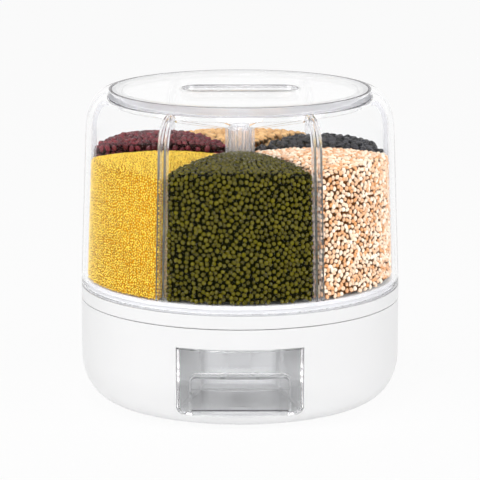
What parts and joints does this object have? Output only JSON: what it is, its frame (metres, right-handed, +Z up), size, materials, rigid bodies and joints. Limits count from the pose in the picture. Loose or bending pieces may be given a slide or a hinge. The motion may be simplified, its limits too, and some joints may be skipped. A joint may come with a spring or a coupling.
{
  "type": "grain dispenser",
  "caption": "Round rotating grain dispenser: clear drum of separate compartments with a lift-off lid on a white base, emptying through a sprung gate into a clear pull-out cup.",
  "frame": {"origin": "on the table, under the middle of the base", "axes": "+Z up along the turntable's axis, -Y out of the front, where the cup is pulled, +X to the viewer's right"},
  "size_m": [0.25, 0.25, 0.2443],
  "materials": {
    "white_plastic": "satin white moulding",
    "clear_plastic": "clear polished moulding",
    "grey_plastic": "slippery moulding",
    "steel": "bright zinc plated",
    "silicone": "soft translucent white",
    "foot_rubber": "matt grey",
    "grain_mung": "dry green beans in bulk",
    "grain_millet": "dry yellow grain in bulk",
    "grain_adzuki": "dry red beans in bulk",
    "grain_soy": "dry tan beans in bulk",
    "grain_black_bean": "dry black beans in bulk",
    "grain_barley": "dry pale grain in bulk"
  },
  "bodies": {
    "base": {"base_shell": "white_plastic", "bottom_plate": "white_plastic", "rubber_feet": "foot_rubber", "bottom_screws": "steel", "outlet_deck": "white_plastic", "deck_screws": "steel", "outlet_seal": "silicone", "cup_bay": "white_plastic", "outlet_chute": "white_plastic", "spindle": "steel", "spindle_washer": "steel", "spindle_screw": "steel", "gate_spring_left": "steel", "gate_spring_right": "steel"},
    "rotor": {"turntable": "white_plastic", "spindle_bush": "grey_plastic", "barrel": "clear_plastic", "center_column": "clear_plastic", "partition_1": "clear_plastic", "partition_2": "clear_plastic", "partition_3": "clear_plastic", "partition_4": "clear_plastic", "partition_5": "clear_plastic", "partition_6": "clear_plastic", "grain_mung": "grain_mung", "grain_millet": "grain_millet", "grain_adzuki": "grain_adzuki", "grain_soy": "grain_soy", "grain_black_bean": "grain_black_bean", "grain_barley": "grain_barley"},
    "ball_race": {"ball_cage": "grey_plastic", "bearing_balls": "steel"},
    "gate": {"gate_slide": "grey_plastic"},
    "cup": {"measuring_cup": "clear_plastic"},
    "lid": {"lid": "clear_plastic", "lid_seal": "silicone"}
  },
  "joints": [
    {"name": "rotor_spin", "type": "hinge", "parent": "base", "child": "rotor", "pos_m": [0, 0, 0.0946], "axis": [0, 0, 1], "continuous": true},
    {"name": "ball_race_spin", "type": "hinge", "parent": "base", "child": "ball_race", "pos_m": [0, 0, 0.0916], "axis": [0, 0, 1], "continuous": true},
    {"name": "lid_lift", "type": "slide", "parent": "rotor", "child": "lid", "axis": [0, 0, 1], "range_m": [0, 0.06]},
    {"name": "gate_press", "type": "slide", "parent": "base", "child": "gate", "axis": [0, 1, 0], "range_m": [0, 0.019], "stiffness_N_per_m": 150, "springref_m": -0.01, "deforming": ["gate_spring_left", "gate_spring_right"]},
    {"name": "cup_pull", "type": "slide", "parent": "gate", "child": "cup", "axis": [0, -1, 0], "range_m": [0, 0.1]}
  ],
  "couplings": [
    {"joint": "ball_race_spin", "follows": "rotor_spin", "ratio": 0.5}
  ]
}
